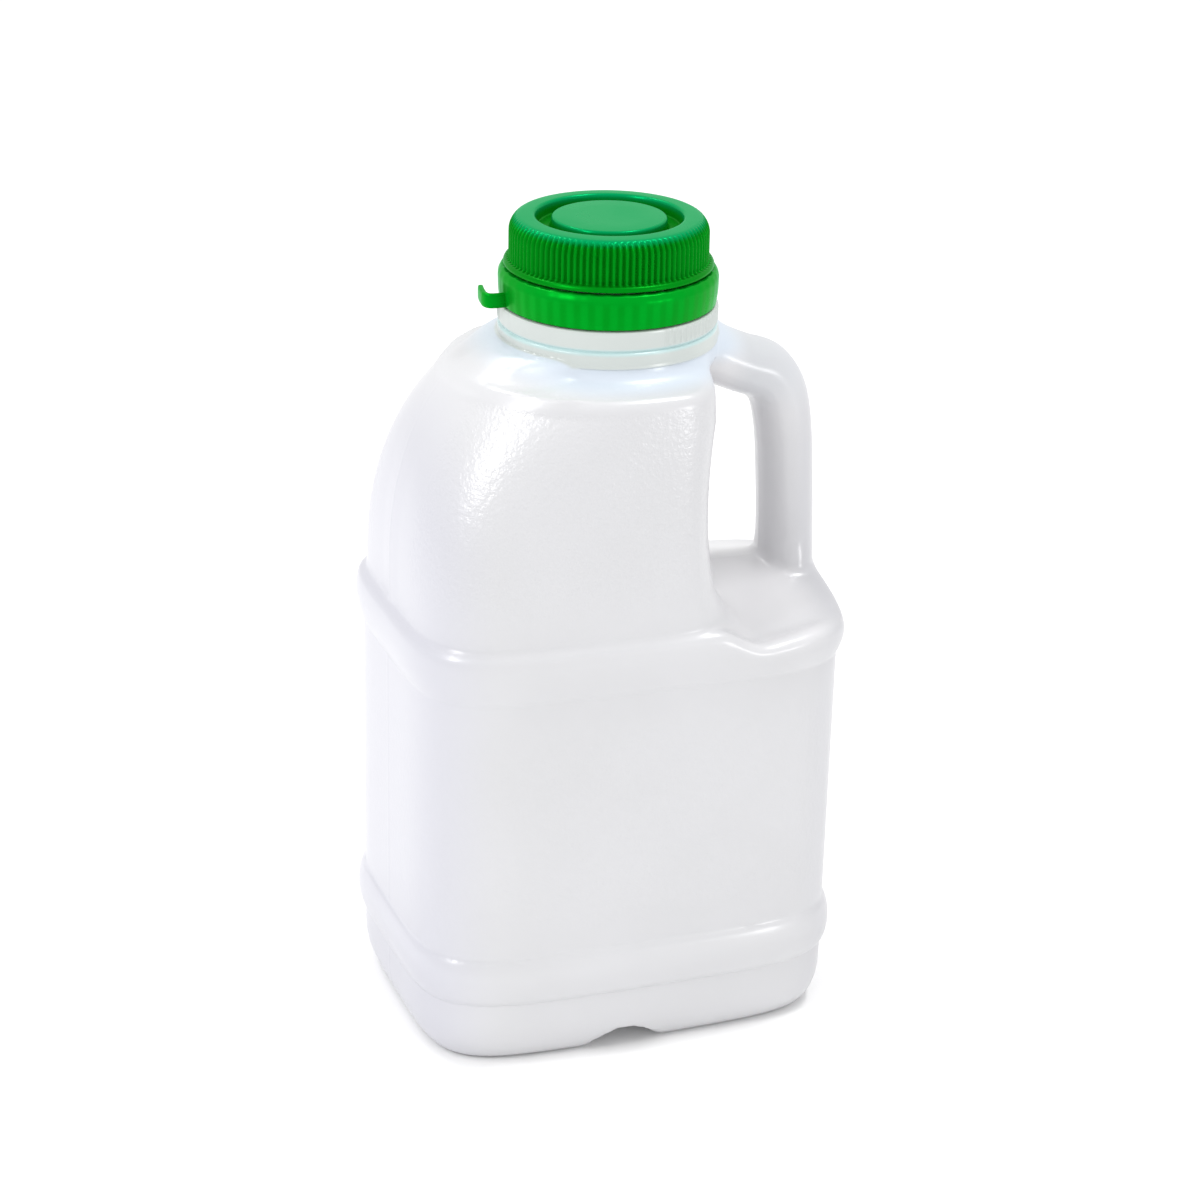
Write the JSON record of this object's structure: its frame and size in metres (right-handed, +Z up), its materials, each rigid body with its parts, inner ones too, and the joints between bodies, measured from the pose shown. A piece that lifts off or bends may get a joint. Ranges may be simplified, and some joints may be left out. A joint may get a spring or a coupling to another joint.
{
  "type": "juice jug with handle",
  "caption": "Small translucent blow-moulded juice jug with a built-in grip handle, a ridged green screw cap and a tear-off tamper band with a pull tab.",
  "frame": {"origin": "middle of the base, on the surface the jug stands on", "axes": "+Z up, front towards -Y, handle on +X"},
  "size_m": [0.0932, 0.0708, 0.1681],
  "materials": {
    "milky_plastic": "semi-gloss translucent milky polyethylene with a fine moulded grain",
    "green_plastic": "semi-gloss green polyethylene"
  },
  "bodies": {
    "root": {"bottle": "milky_plastic", "cap": "green_plastic", "tear_band": "green_plastic"}
  },
  "joints": []
}
